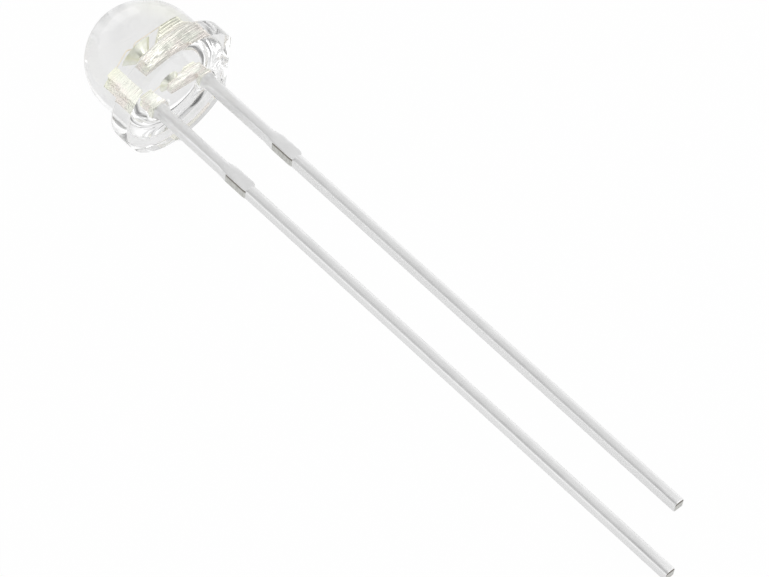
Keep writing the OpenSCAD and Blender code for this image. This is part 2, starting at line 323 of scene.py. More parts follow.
def lamp_place(tree):
    """Socket with the place of a point in the lamp's upright millimetres."""
    turned, scaled = INTO_LAMP.to_3x3().normalized(), INTO_LAMP.to_scale()
    place = add(tree, "ShaderNodeTexCoord").outputs["Object"]
    return add(
        tree, "ShaderNodeMapping", {"vector_type": "POINT"}, Vector=place,
        Location=INTO_LAMP.translation, Rotation=turned.to_euler(), Scale=scaled,
    ).outputs[0]


# %% [markdown]
# ## Clear epoxy
# Water-clear epoxy, poured into a polished mould round the upside-down frame and baked hard. It comes out
# as glossy as the mould. Only the seating face, where it was poured, set in the open air and is a little
# rippled. It bends light more than acrylic does, which is why the frame inside shows as shifted and doubled
# patches. A shadow ray passes straight through it, so that soft light reaches the metal inside without much
# noise.

# %% Material: cast epoxy
EPOXY_INDEX = 1.54
EPOXY_CLEAR = "F6F6F6"
# The ripple's width and height, and how far above the seating face it has died away.
RIPPLE, RIPPLE_HEIGHT, RIPPLE_TO = 1.8, 0.08, 0.15


def cast_epoxy():
    """Clear epoxy with the ripple of the poured face."""
    material, tree, output = new_material("cast clear epoxy")
    place = lamp_place(tree)
    height = add(tree, "ShaderNodeSeparateXYZ", Vector=place).outputs["Z"]
    poured = add(
        tree, "ShaderNodeMapRange", {"interpolation_type": "SMOOTHSTEP"}, Value=height,
        From_Min=RIPPLE_TO, From_Max=0.0,
    ).outputs["Result"]
    ripple = add(tree, "ShaderNodeTexNoise", Vector=place, Scale=1 / RIPPLE, Detail=1.0).outputs["Fac"]
    waves = add(
        tree, "ShaderNodeBump", Height=ripple, Distance=RIPPLE_HEIGHT * MM, Strength=poured,
    ).outputs[0]
    clear = add(
        tree, "ShaderNodeBsdfPrincipled", Base_Color=hex_colour(EPOXY_CLEAR), Roughness=0.0,
        Transmission_Weight=1.0, IOR=EPOXY_INDEX, Normal=waves,
    )
    through = add(tree, "ShaderNodeBsdfTransparent", Color=hex_colour(EPOXY_CLEAR))
    rays = add(tree, "ShaderNodeLightPath")
    both = add(
        tree, "ShaderNodeMixShader", Fac=rays.outputs["Is Shadow Ray"],
        i1=clear.outputs[0], i2=through.outputs[0],
    )
    tree.links.new(both.outputs[0], output.inputs["Surface"])
    return material


EPOXY = cast_epoxy()
print("material:", EPOXY.name)

# %% [markdown]
# ## Lead-frame metal
# The frame is stamped from iron strip. Inside the lens it is plated with bright silver, so that it throws
# the light out, and its faces keep the grooves of the press. Round the phosphor the silver gets a faint
# painted yellow-green light, which stands for the phosphor's glow. Below the flange the leads are dipped in
# solder, which pulls itself round on a square lead.
# So its faces are a little crowned and dull with a soft mottle, and faint lines of the drawn strip show
# through. One material does both, because the change lies at a height above the seating face and not
# between pieces.

# %% Sizes of the strip's patterns, in millimetres
PLATING_EDGE_Z, PLATING_SOFT = 0.05, 0.1
# Grooves of the press, along the strip and across it. The real ones are finer than could be seen, so they are
# drawn as coarse as they need to show.
PRESSED_ALONG, PRESSED_ACROSS, PRESSED_DEPTH = 1.2, 0.1, 0.08
STREAK_ACROSS, STREAK_ALONG, STREAK_HEIGHT = 0.06, 2.5, 0.02
MOTTLE, MOTTLE_HEIGHT = 0.35, 0.06
TARNISH = 0.6
# Between these heights the silver gets the phosphor's painted yellow-green light, and by how much at most.
PHOSPHOR_FROM, PHOSPHOR_TO, PHOSPHOR_SHARE = 1.6, 2.4, 0.8
# Most of a noise lies between these two values, so stretching it from one to the other gives full contrast.
SPOT_FROM, SPOT_TO = 0.4, 0.6
print("grooves, streaks and mottle, mm:", PRESSED_ACROSS, STREAK_ACROSS, MOTTLE)

# %% Colour of the strip
# The last colour is the phosphor's yellow-green light, painted on the silver.
SOLDER, SILVER, TARNISHED, PAINTED_PHOSPHOR_LIGHT = "F0F0F0", "FBF4ED", "F9FAEF", "F8F9E4"


def strip_colour(tree, place, height, silvered):
    """Socket with the colour of solder below the plating's edge and of silver above it, with the phosphor's
    light painted in high up.
    """
    cloud = add(tree, "ShaderNodeTexNoise", Vector=place, Scale=1 / TARNISH, Detail=1.0).outputs["Fac"]
    tarnish = add(
        tree, "ShaderNodeMapRange", Value=cloud, From_Min=SPOT_FROM, From_Max=SPOT_TO,
    ).outputs["Result"]
    silver = add(
        tree, "ShaderNodeMix", {"data_type": "RGBA"}, i0=tarnish,
        i6=hex_colour(SILVER), i7=hex_colour(TARNISHED),
    ).outputs[2]
    painted_phosphor_mask = add(
        tree, "ShaderNodeMapRange", {"interpolation_type": "SMOOTHSTEP"}, Value=height,
        From_Min=PHOSPHOR_FROM, From_Max=PHOSPHOR_TO, To_Max=PHOSPHOR_SHARE,
    ).outputs["Result"]
    # Painted yellow-green light of the phosphor on the silver, high up.
    silver = add(
        tree, "ShaderNodeMix", {"data_type": "RGBA"}, i0=painted_phosphor_mask,
        i6=silver, i7=hex_colour(PAINTED_PHOSPHOR_LIGHT),
    ).outputs[2]
    return add(
        tree, "ShaderNodeMix", {"data_type": "RGBA"}, i0=silvered, i6=hex_colour(SOLDER), i7=silver,
    ).outputs[2]


# %% Material: silvered and tinned strip
# Roughness of solder and of pressed silver, from the smooth spots to the dull ones, and the values of the
# mottle and of the grooves at which a spot is smooth and is dull.
SOLDER_DULL, SILVER_DULL = (0.38, 0.5), (0.14, 0.3)
MOTTLE_SPREAD, GROOVE_SPREAD = (0.3, 0.7), (0.35, 0.65)
# How strongly streaks and mottle show, from 0 to 1; the grooves show fully wherever there is silver.
STREAKS_SHOW, MOTTLE_SHOWS = 0.15, 0.3


def plated_strip():
    """Dull solder below the lens, and bright silver with the grooves of the press in it."""
    material, tree, output = new_material("silvered and tinned iron strip")
    place = lamp_place(tree)
    height = add(tree, "ShaderNodeSeparateXYZ", Vector=place).outputs["Z"]
    silvered = add(
        tree, "ShaderNodeMapRange", {"interpolation_type": "SMOOTHSTEP"}, Value=height,
        From_Min=PLATING_EDGE_Z - PLATING_SOFT, From_Max=PLATING_EDGE_Z + PLATING_SOFT,
    ).outputs["Result"]
    colour = strip_colour(tree, place, height, silvered)
    drawn = add(
        tree, "ShaderNodeMapping", Vector=place,
        Scale=(1 / STREAK_ACROSS, 1 / STREAK_ACROSS, 1 / STREAK_ALONG),
    ).outputs[0]
    streaks = add(tree, "ShaderNodeTexNoise", Vector=drawn, Scale=1.0, Detail=2.0).outputs["Fac"]
    pressed = add(
        tree, "ShaderNodeMapping", Vector=place,
        Scale=(1 / PRESSED_ALONG, 1 / PRESSED_ACROSS, 1 / PRESSED_ACROSS),
    ).outputs[0]
    grooves = add(tree, "ShaderNodeTexNoise", Vector=pressed, Scale=1.0, Detail=2.0).outputs["Fac"]
    dipped = add(
        tree, "ShaderNodeMapping", Vector=place, Scale=(1 / MOTTLE, 1 / MOTTLE, 0.5 / MOTTLE),
    ).outputs[0]
    mottle = add(tree, "ShaderNodeTexNoise", Vector=dipped, Scale=1.0, Detail=3.0).outputs["Fac"]
    soldered = add(
        tree, "ShaderNodeMapRange", Value=mottle, From_Min=MOTTLE_SPREAD[0], From_Max=MOTTLE_SPREAD[1],
        To_Min=SOLDER_DULL[0], To_Max=SOLDER_DULL[1],
    ).outputs["Result"]
    brushed = add(
        tree, "ShaderNodeMapRange", Value=grooves, From_Min=GROOVE_SPREAD[0], From_Max=GROOVE_SPREAD[1],
        To_Min=SILVER_DULL[0], To_Max=SILVER_DULL[1],
    ).outputs["Result"]
    roughness = add(tree, "ShaderNodeMix", i0=silvered, i2=soldered, i3=brushed).outputs[0]
    lines = add(
        tree, "ShaderNodeBump", Height=streaks, Strength=STREAKS_SHOW, Distance=STREAK_HEIGHT * MM,
    ).outputs[0]
    coined = add(
        tree, "ShaderNodeBump", Height=grooves, Strength=silvered, Distance=PRESSED_DEPTH * MM, Normal=lines,
    ).outputs[0]
    waves = add(
        tree, "ShaderNodeBump", Height=mottle, Strength=MOTTLE_SHOWS, Distance=MOTTLE_HEIGHT * MM,
        Normal=coined,
    ).outputs[0]
    metal = add(
        tree, "ShaderNodeBsdfPrincipled", Base_Color=colour, Metallic=1.0, Roughness=roughness, Normal=waves,
    )
    tree.links.new(metal.outputs[0], output.inputs["Surface"])
    return material


STRIP = plated_strip()
print("material:", STRIP.name)

# %% [markdown]
# Where the frame is cut from its tie bar and to length, the plating is torn open. The first part of each
# cut is smeared light grey, and the rest is darker broken iron, with a soft change from one to the other.
# That darker part lies along the upper edge of the cut when the lamp lies, and its colour also paints the
# shade there.

# %% Material: sheared iron
# Where across the sheet the metal starts to break, and how soft that change is, in millimetres.
BREAK_Y, BREAK_SOFT = -0.07, 0.12
# The broken iron's dark colour is partly painted shade.
SMEARED, SMEARED_BRIGHT, BROKEN_AND_SHADED = "B4B4B0", "ECECE8", "7E7870"
TORN_PER_MM, TORN_HEIGHT, TORN_SHOWS = (12.0, 3.0, 12.0), 0.03, 0.5
# Torn iron is part oxide and dirt, so it isn't all metal, and it is dull.
IRON_METAL, IRON_DULL = 0.8, 0.5


def sheared_iron():
    """Iron cut by a punch: smeared first, then broken, with painted shade in the broken part's dark colour.
    """
    material, tree, output = new_material("sheared iron")
    place = lamp_place(tree)
    through = add(tree, "ShaderNodeSeparateXYZ", Vector=place).outputs["Y"]
    # The broken part's dark colour also paints the shade along the cut's upper edge.
    broken_and_shaded = add(
        tree, "ShaderNodeMapRange", {"interpolation_type": "SMOOTHSTEP"}, Value=through,
        From_Min=BREAK_Y, From_Max=BREAK_Y - BREAK_SOFT,
    ).outputs["Result"]
    torn = add(tree, "ShaderNodeMapping", Vector=place, Scale=TORN_PER_MM).outputs[0]
    grain = add(tree, "ShaderNodeTexNoise", Vector=torn, Scale=1.0, Detail=3.0).outputs["Fac"]
    smeared = add(
        tree, "ShaderNodeMix", {"data_type": "RGBA"}, i0=grain,
        i6=hex_colour(SMEARED), i7=hex_colour(SMEARED_BRIGHT),
    ).outputs[2]
    colour = add(
        tree, "ShaderNodeMix", {"data_type": "RGBA"}, i0=broken_and_shaded, i6=smeared, i7=hex_colour(BROKEN_AND_SHADED),
    ).outputs[2]
    rough = add(
        tree, "ShaderNodeBump", Height=grain, Strength=TORN_SHOWS, Distance=TORN_HEIGHT * MM,
    ).outputs[0]
    metal = add(
        tree, "ShaderNodeBsdfPrincipled", Base_Color=colour, Metallic=IRON_METAL, Roughness=IRON_DULL,
        Normal=rough,
    )
    tree.links.new(metal.outputs[0], output.inputs["Surface"])
    return material


SHEARED = sheared_iron()
print("material:", SHEARED.name)

# %% [markdown]
# ## What sits in and over the cup
# Each of these has a grain of its own size, so one function mixes two colours by that grain and raises it a
# little. The cup is headed, which means that a die pressed it smooth, and its silver is even and softly
# bright; its faint yellow-green is the phosphor's light, painted into its colours. The glue under the chip is
# full of silver flakes, so it is grey and half metallic. The chip is sapphire, sawn on its sides and glassy.
# The phosphor is yellow powder in resin, matt and opaque. The wires are drawn gold, too thin to mirror
# anything, which leaves them a soft shine.

# %% Materials inside the lens
GRAIN_SHOWS = 0.5


def grained(name, colours, grain, height, **values):
    """A material with grains of two colours; grain and height are in millimetres."""
    material, tree, output = new_material(name)
    place = lamp_place(tree)
    spots = add(tree, "ShaderNodeTexNoise", Vector=place, Scale=1 / grain, Detail=2.0).outputs["Fac"]
    sharp = add(
        tree, "ShaderNodeMapRange", Value=spots, From_Min=SPOT_FROM, From_Max=SPOT_TO,
    ).outputs["Result"]
    first, second = (hex_colour(colour) for colour in colours)
    colour = add(tree, "ShaderNodeMix", {"data_type": "RGBA"}, i0=sharp, i6=first, i7=second).outputs[2]
    raised = add(tree, "ShaderNodeBump", Height=spots, Strength=GRAIN_SHOWS, Distance=height * MM).outputs[0]
    shader = add(tree, "ShaderNodeBsdfPrincipled", Base_Color=colour, Normal=raised, **values)
    tree.links.new(shader.outputs[0], output.inputs["Surface"])
    return material


# The cup's yellow-green colours are painted light of the phosphor.
HEADED = grained("silvered and headed iron", ("F8F9EE", "F0F2E2"), 0.2, 0.002, Metallic=1.0, Roughness=0.32)
GLUE = grained("silver-filled adhesive", ("D2D1CC", "B4B2AA"), 0.02, 0.004, Metallic=0.6, Roughness=0.5)
SAPPHIRE = grained("sawn sapphire die", ("9FB2BC", "B2C2C8"), 0.05, 0.001, Roughness=0.12)
PHOSPHOR = grained("phosphor in resin", ("EFEA9A", "E6DF6E"), 0.03, 0.004, Roughness=0.5)
GOLD = grained("drawn gold wire", ("FFF4E0", "FFEED0"), 0.02, 0.001, Metallic=1.0, Roughness=0.4)

# %% The solid model's own pieces that stay
for node, finish in (("die_attach", GLUE), ("led_chip", SAPPHIRE), ("phosphor_fill", PHOSPHOR)):
    nodes[node].data.materials.clear()
    nodes[node].data.materials.append(finish)
    print(node, "is finished in", finish.name)

# %% [markdown]
# ## A tree that turns a section
# Lens, collars and cup are all round, so each is given as half a section and turned. The Spin tool or a
# Screw modifier could do that too. A Geometry Nodes tree was chosen, because its inputs have names and one
# tree makes all four: it lays a grid of "section points by turns", looks each point's radius and height up
# in the section, and turns it round z. Points that fall together on the axis and at the seam are then
# merged, so the form closes.

# %% Geometry Nodes: turned form
# Points nearer than this are one; the tree works in the lamp's millimetres.
WELD = 0.0002


def turned_form():
    """The tree; its inputs are a section, the number of turns and a material."""
    tree = bpy.data.node_groups.new("turned form", "GeometryNodeTree")
    for name, kind in (("Section", "Geometry"), ("Turns", "Int"), ("Finish", "Material")):
        tree.interface.new_socket(name, in_out="INPUT", socket_type="NodeSocket" + kind)
    tree.interface.new_socket("Form", in_out="OUTPUT", socket_type="NodeSocketGeometry")
    given = add(tree, "NodeGroupInput")
    section, turns = given.outputs["Section"], given.outputs["Turns"]
    count = add(tree, "GeometryNodeAttributeDomainSize", {"component": "MESH"}, Geometry=section)
    count = count.outputs["Point Count"]
    columns = add(tree, "ShaderNodeMath", {"operation": "ADD"}, i0=turns, i1=1).outputs[0]
    grid = add(tree, "GeometryNodeMeshGrid", Vertices_X=columns, Vertices_Y=count).outputs["Mesh"]
    index = add(tree, "GeometryNodeInputIndex").outputs[0]
    along = add(tree, "ShaderNodeMath", {"operation": "MODULO"}, i0=index, i1=count).outputs[0]
    turn = add(tree, "ShaderNodeMath", {"operation": "DIVIDE"}, i0=index, i1=count).outputs[0]
    turn = add(tree, "ShaderNodeMath", {"operation": "FLOOR"}, i0=turn).outputs[0]
    share = add(tree, "ShaderNodeMath", {"operation": "DIVIDE"}, i0=turn, i1=turns).outputs[0]
    angle = add(tree, "ShaderNodeMath", {"operation": "MULTIPLY"}, i0=share, i1=2 * math.pi).outputs[0]
    looked_up = add(
        tree, "GeometryNodeSampleIndex", {"data_type": "FLOAT_VECTOR", "domain": "POINT"},
        Geometry=section, Value=add(tree, "GeometryNodeInputPosition").outputs[0], Index=along,
    ).outputs[0]
    turned = add(
        tree, "ShaderNodeVectorRotate", {"rotation_type": "Z_AXIS"}, Vector=looked_up, Angle=angle
    ).outputs[0]
    placed = add(tree, "GeometryNodeSetPosition", Geometry=grid, Position=turned).outputs[0]
    closed = add(tree, "GeometryNodeMergeByDistance", Geometry=placed, Distance=WELD).outputs[0]
    whole = add(tree, "GeometryNodeRealizeInstances", Geometry=closed).outputs[0]
    finished = add(
        tree, "GeometryNodeSetMaterial", Geometry=whole, Material=given.outputs["Finish"],
    ).outputs[0]
    tree.links.new(finished, add(tree, "NodeGroupOutput").inputs["Form"])
    return tree


TURNED = turned_form()
print("tree:", TURNED.name, "with", len(TURNED.nodes), "nodes")

# %% Helpers for objects


def run_tree(holder, tree, values):
    """Runs a tree on an object with named values, and leaves the result as the object's plain mesh."""
    maker = holder.modifiers.new(tree.name, "NODES")
    maker.node_group = tree
    for item in tree.interface.items_tree:
        if item.in_out == "INPUT" and item.name in values:
            maker[item.identifier] = values[item.name]
    bpy.context.view_layer.update()
    made = bpy.data.meshes.new_from_object(holder.evaluated_get(bpy.context.evaluated_depsgraph_get()))
    holder.modifiers.clear()
    holder.data = made
    return holder


def new_object(name, points, edges=(), faces=()):
    """An object at the origin with a mesh of these points."""
    mesh = bpy.data.meshes.new(name)
    mesh.from_pydata(points, edges, faces)
    holder = bpy.data.objects.new(name, mesh)
    bpy.context.scene.collection.objects.link(holder)
    return holder


def face_outwards(holder):
    """Makes every face of a closed mesh point out, and counts the edges that don't have two faces."""
    mesh = bmesh.new()
    mesh.from_mesh(holder.data)
    bmesh.ops.recalc_face_normals(mesh, faces=mesh.faces)
    mesh.to_mesh(holder.data)
    open_edges = sum(not e.is_manifold for e in mesh.edges)
    mesh.free()
    return open_edges


def one_material(holder, finish):
    """Leaves one material on an object, for all its faces."""
    holder.data.materials.clear()
    holder.data.materials.append(finish)
    for face in holder.data.polygons:
        face.material_index = 0


# %% Helpers for closed forms


def lathe(name, section, turns, finish):
    """A closed form from half a section, given as radius and height, that starts and ends on the axis."""
    points = [(radius, 0, height) for radius, height in section]
    holder = new_object(name, points, [(i, i + 1) for i in range(len(points) - 1)])
    run_tree(holder, TURNED, {"Turns": turns, "Finish": finish})
    one_material(holder, finish)
    open_edges = face_outwards(holder)
    print(name, "faces:", len(holder.data.polygons), " open edges:", open_edges)
    return holder


def combine(target, other, operation="UNION"):
    """Adds or cuts another closed form, which is then deleted."""
    joined = target.modifiers.new(operation, "BOOLEAN")
    joined.operation, joined.solver, joined.object = operation, "EXACT", other
    bpy.context.view_layer.update()
    target.data = bpy.data.meshes.new_from_object(
        target.evaluated_get(bpy.context.evaluated_depsgraph_get())
    )
    target.modifiers.clear()
    bpy.data.objects.remove(other)


def arc(middle, radius, start, end, steps):
    """Points on an arc, from start to end in degrees."""
    angles = [math.radians(start + (end - start) * i / steps) for i in range(steps + 1)]
    return [(middle[0] + radius * math.cos(a), middle[1] + radius * math.sin(a)) for a in angles]


# %% [markdown]
# ## The lens
# The dome, barrel and flange are one turned form. The flat on the cathode side is cut away, and a small
# collar of epoxy is added round each lead, where the resin crept along it before it set. The lens has no
# hollow here, unlike the solid model: the frame is simply inside it, and light meets metal where it would
# in the real one. A smooth dome bends light without facets only if it has many of them, so it gets the most
# faces of all.

# %% The lens
FLANGE_R, FLANGE_T = 3.0, 1.0
FLANGE_EDGE_R, ROOT_R = 0.12, 0.1
FLAT_X = 2.5
LENS_H = 4.7
LENS_TURNS, DOME_STEPS, EDGE_STEPS = 256, 64, 8
# Two rings on the seating face, so that its faces stay short.
SEAT_RINGS = (1.0, 2.0)
LENS_CREASE = math.radians(35)

lens = lathe("clear_lens", (
    [(radius, 0) for radius in (0, *SEAT_RINGS, FLANGE_R)]
    + arc((FLANGE_R - FLANGE_EDGE_R, FLANGE_T - FLANGE_EDGE_R), FLANGE_EDGE_R, 0, 90, EDGE_STEPS)
    + arc((LENS_R + ROOT_R, FLANGE_T + ROOT_R), ROOT_R, 270, 180, EDGE_STEPS)
    + arc((0, LENS_H - LENS_R), LENS_R, 0, 90, DOME_STEPS)[:-1]
    + [(0, LENS_H)]
), LENS_TURNS, EPOXY)

# %% The flat on the cathode side
# The cutter reaches well past the flange to the sides and down, and just over it at the top.
CUT, CUT_FOOT, CUT_TOP = 4.0, -1, 0.56
block = new_object("flat", [
    (FLAT_X + CUT * x, CUT * y, CUT * z + CUT_FOOT) for x in (0, 1) for y in (-1, 1) for z in (0, CUT_TOP)
], (), [(0, 1, 3, 2), (4, 6, 7, 5), (0, 4, 5, 1), (2, 3, 7, 6), (0, 2, 6, 4), (1, 5, 7, 3)])
face_outwards(block)
combine(lens, block, "DIFFERENCE")
print("lens faces with its flat:", len(lens.data.polygons))

# %% The collars round the leads
# A collar is a fillet of this radius between the seating face and a circle round the lead's corners.
COLLAR_R, LEAD_CORNER_R = 0.3, 0.354
COLLAR_TURNS, COLLAR_STEPS = 64, 10
for side in (-1, 1):
    collar = lathe("collar", (
        [(0, COLLAR_R), (LEAD_CORNER_R + COLLAR_R, COLLAR_R)]
        + [(LEAD_CORNER_R + COLLAR_R - x, -COLLAR_R + y)
           for x, y in arc((0, 0), COLLAR_R, 90, 0, COLLAR_STEPS)]
        + [(0, -COLLAR_R)]
    ), COLLAR_TURNS, EPOXY)
    collar.data.transform(Matrix.Translation((side * PITCH / 2, 0, 0)))
    combine(lens, collar)
one_material(lens, EPOXY)
print("lens open edges:", face_outwards(lens))
lens.data.transform(LAMP)
lens.data.shade_smooth()
lens.data.set_sharp_from_angle(angle=LENS_CREASE)
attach(lens, "root")
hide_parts("lens_body")

# %% [markdown]
# ## The leads
# A box with a Bevel modifier would give a square lead, but not one whose section changes along its length.
# So each lead is a loft: rings of points, one above the other, joined side by side. A ring is a squared-off
# ellipse, crowned where the solder pulled itself round. At the stub of the tie bar it is wider and its
# corners are sharp, because there the strip was cut after plating.

# %% Section of a lead
LEAD_HALF = 0.25
RING = 64
# How square the section is, as the powers of |x| and |y|: crowned side, other side, and cut stub.
CROWNED, LOWER, CUT_SHARP = (2.2, 5.0), (8.0, 12.0), (24.0, 24.0)
HALVINGS = 40


def ring(height, out, inside, powers, shrink=0.0):
    """Points of a section that reaches out to +x and inside to -x; shrink makes it smaller all round."""
    points = []
    for i in range(RING):
        angle = 2 * math.pi * (i + 0.5) / RING
        cosine, sine = math.cos(angle), math.sin(angle)
        px, py = powers if sine < 0 else (LOWER if powers is CROWNED else powers)
        # The point in that direction on |x|^px + |y|^py = 1 is found by halving the distance again and again.
        near, far = 0.0, 1.5
        for _ in range(HALVINGS):
            middle = (near + far) / 2
            if abs(middle * cosine) ** px + abs(middle * sine) ** py < 1:
                near = middle
            else:
                far = middle
        reach = (out if cosine > 0 else inside) - shrink
        points.append((near * cosine * reach, near * sine * (LEAD_HALF - shrink), height))
    return points


print("points round a lead:", len(ring(0, LEAD_HALF, LEAD_HALF, CROWNED)))

# %% Loft of a lead
STUB_END, STUB_L, STUB_TAPER_L = 5.4, 1.6, 0.45
STUB_OUT, STUB_IN = 0.07, 0.03
# At the stub's lower end: heights over the end, and how much of its extra width the stub has there.
STUB_ROUND = ((0.005, 0.1), (0.06, 0.6), (0.17, 1.0))
TIP_ROUND, TIP_STEPS = 0.05, 5
SPANS = 12
# The plates inside the lens start at JOIN_Z. There the lead draws in, so that no two sides lie in one plane.
JOIN_Z, JOIN_BELOW, JOIN_ABOVE, JOIN_TAPER = 0.1, 0.02, 0.05, 0.03
# A face of the stub counts as cut where it looks this squarely to the side, and a face of the tip does within
# this share of its rounding.
SIDEWAYS, CUT_TIP = 0.8, 0.3


def lead(name, length, top):
    """A lead from its cut tip to a height inside the lens, on the z axis."""
    stub_near = STUB_L - STUB_END
    narrow = (LEAD_HALF, LEAD_HALF)
    angles = [math.radians(90 - 90 * i / (TIP_STEPS - 1)) for i in range(TIP_STEPS)]
    rings = [ring(-length + TIP_ROUND * (1 - math.sin(a)), *narrow, CROWNED, TIP_ROUND * (1 - math.cos(a)))
             for a in angles]
    straight = -length + TIP_ROUND
    rings += [ring(straight + (-STUB_END - straight) * i / SPANS, *narrow, CROWNED)
              for i in range(1, SPANS + 1)]
    cut_from = len(rings) - 1
    rings += [ring(-STUB_END + rise, LEAD_HALF + share * STUB_OUT, LEAD_HALF + share * STUB_IN, CUT_SHARP)
              for rise, share in STUB_ROUND]
    rings.append(ring(stub_near - STUB_TAPER_L, LEAD_HALF + STUB_OUT, LEAD_HALF + STUB_IN, CUT_SHARP))
    cut_to = len(rings) - 1
    rings += [
        ring(stub_near, *narrow, CROWNED), ring(JOIN_Z - JOIN_BELOW, *narrow, CROWNED),
        ring(JOIN_Z + JOIN_ABOVE, *narrow, CROWNED, JOIN_TAPER), ring(top, *narrow, CROWNED, JOIN_TAPER),
    ]
    points = [point for one in rings for point in one]
    faces = [
        (r * RING + i, r * RING + (i + 1) % RING, (r + 1) * RING + (i + 1) % RING, (r + 1) * RING + i)
        for r in range(len(rings) - 1) for i in range(RING)
    ]
    faces += [tuple(reversed(range(RING))), tuple(range(len(points) - RING, len(points)))]
    holder = new_object(name, points, (), faces)
    for finish in (STRIP, SHEARED, HEADED):
        holder.data.materials.append(finish)
    for face in holder.data.polygons:
        stub_side = cut_from * RING <= face.index < cut_to * RING and abs(face.normal.x) > SIDEWAYS
        cut_end = face.center.z < -length + CUT_TIP * TIP_ROUND
        face.material_index = 1 if stub_side or cut_end else 0
    face_outwards(holder)
    return holder


# %% [markdown]
# ## The frame inside the lens
# Above the seating face the strip was left wide: a blade and a shoulder on the cathode side, and a post on
# the anode side. They are flat outlines with the thickness of the sheet. A punch leaves its mark on every
# edge: the sheet rolls over where the punch enters, a burnished band follows, and the rest breaks away at a
# slant. A Bevel modifier rounds both faces alike, so the outline is stacked in levels instead, each drawn
# in by what the punch took there. The cup is headed out of the blade as a cone, so it is turned and then
# joined to it.

# %% Places in the frame, in millimetres
CUP_RIM_Z, CUP_RIM_R, CUP_FLOOR_R, CUP_DEPTH, CUP_RIM_W = 2.36, 0.43, 0.24, 0.32, 0.06
CONE_H, CONE_FOOT_R, CONE_ROOT, CONE_TURNS = 0.46, 0.23, 0.18, 96
BLADE_TOP = CUP_RIM_Z - CONE_H
PAD_OVER_RIM, POST_UNDER_RIM = 0.12, 0.06
PAD_Z, POST_Z = CUP_RIM_Z + PAD_OVER_RIM, CUP_RIM_Z - POST_UNDER_RIM
CONE_TO_SHOULDER, SHOULDER_LEAN, CUP_TO_POST = 0.2, 0.42, 0.56
SHOULDER_X = CONE_FOOT_R + CONE_TO_SHOULDER
LEAD_X = PITCH / 2
OUTER_X, INNER_X = LEAD_X + LEAD_HALF, LEAD_X - LEAD_HALF
POST_X = CUP_RIM_R + CUP_RIM_W + CUP_TO_POST
# The blade's steps: beside the wire's pad, at its free corner, and at its foot.
PAD_STEP, BLADE_BACK, CORNER, BLADE_FOOT, BLADE_HEEL = 0.2, 0.25, 0.05, 1.12, 1.0
POST_NECK, POST_FOOT = 0.45, 0.75
print("cup rim at, mm:", CUP_RIM_Z, " anode post from, mm:", round(POST_X, 3))

# %% Stamped outlines
ROLL_R, ROLL_BACK, ROLL_STEPS = 0.06, 0.06, 5
# The section of an edge: places through the sheet, from the face where the punch entered to the face where it
# left, and how far the edge stands back at each. The burnished band ends in the middle of the sheet.
ROLLED = [(-LEAD_HALF + y, ROLL_BACK + x) for x, y in arc((0, ROLL_R), ROLL_R, 180, 270, ROLL_STEPS)][::-1]
TORN_AWAY = [(0.0, 0.0), (0.02, 0.02), (LEAD_HALF - 0.03, 0.05), (LEAD_HALF, 0.07)]
PUNCHED = ROLLED + TORN_AWAY


def drawn_in(outline, distance):
    """The outline with every side moved inwards."""
    moved = []
    for i, (x, z) in enumerate(outline):
        (last_x, last_z), (next_x, next_z) = outline[i - 1], outline[(i + 1) % len(outline)]
        sides = ((x - last_x, z - last_z), (next_x - x, next_z - z))
        (ax, az), (bx, bz) = ((-dz / math.hypot(dx, dz), dx / math.hypot(dx, dz)) for dx, dz in sides)
        step = distance / (1 + ax * bx + az * bz)
        moved.append((x + (ax + bx) * step, z + (az + bz) * step))
    return moved


def stamped(name, outline):
    """A plate with punched edges, from its outline as x and z, running anticlockwise."""
    count, levels = len(outline), len(PUNCHED)
    points = [(x, y, z) for y, back in PUNCHED for x, z in drawn_in(outline, back)]
    faces = [tuple(range(count)), tuple(reversed(range((levels - 1) * count, levels * count)))]
    for low in range(0, (levels - 1) * count, count):
        high = low + count
        faces += [(low + i, high + i, high + (i + 1) % count, low + (i + 1) % count) for i in range(count)]
    holder = new_object(name, points, (), faces)
    one_material(holder, STRIP)
    face_outwards(holder)
    return holder


# %% Blade, post and cup
blade = stamped("blade", [
    (OUTER_X, JOIN_Z), (OUTER_X, BLADE_TOP), (OUTER_X - PAD_STEP, BLADE_TOP + PAD_STEP),
    (OUTER_X - PAD_STEP, PAD_Z), (SHOULDER_X + SHOULDER_LEAN, PAD_Z), (SHOULDER_X, BLADE_TOP),
    (-BLADE_BACK + CORNER, BLADE_TOP), (-BLADE_BACK, BLADE_TOP - CORNER), (-BLADE_BACK, BLADE_FOOT),
    (INNER_X, BLADE_HEEL), (INNER_X, JOIN_Z),
])
post = stamped("post", [
    (-OUTER_X, JOIN_Z), (-OUTER_X, POST_Z), (-POST_X, POST_Z), (-POST_X, POST_Z - POST_NECK),
    (-INNER_X, POST_Z - POST_FOOT), (-INNER_X, JOIN_Z),
])
cone = lathe("cone", [
    (0, BLADE_TOP - CONE_ROOT), (CONE_FOOT_R, BLADE_TOP - CONE_ROOT), (CONE_FOOT_R, BLADE_TOP),
    (CUP_RIM_R + CUP_RIM_W, CUP_RIM_Z), (CUP_RIM_R, CUP_RIM_Z),
    (CUP_FLOOR_R, CUP_RIM_Z - CUP_DEPTH), (0, CUP_RIM_Z - CUP_DEPTH),
], CONE_TURNS, HEADED)

# %% The two frames
CATHODE_L, ANODE_L = 27.0, 29.0
LEAD_TOP = 0.3
FRAME_CREASE = math.radians(30)

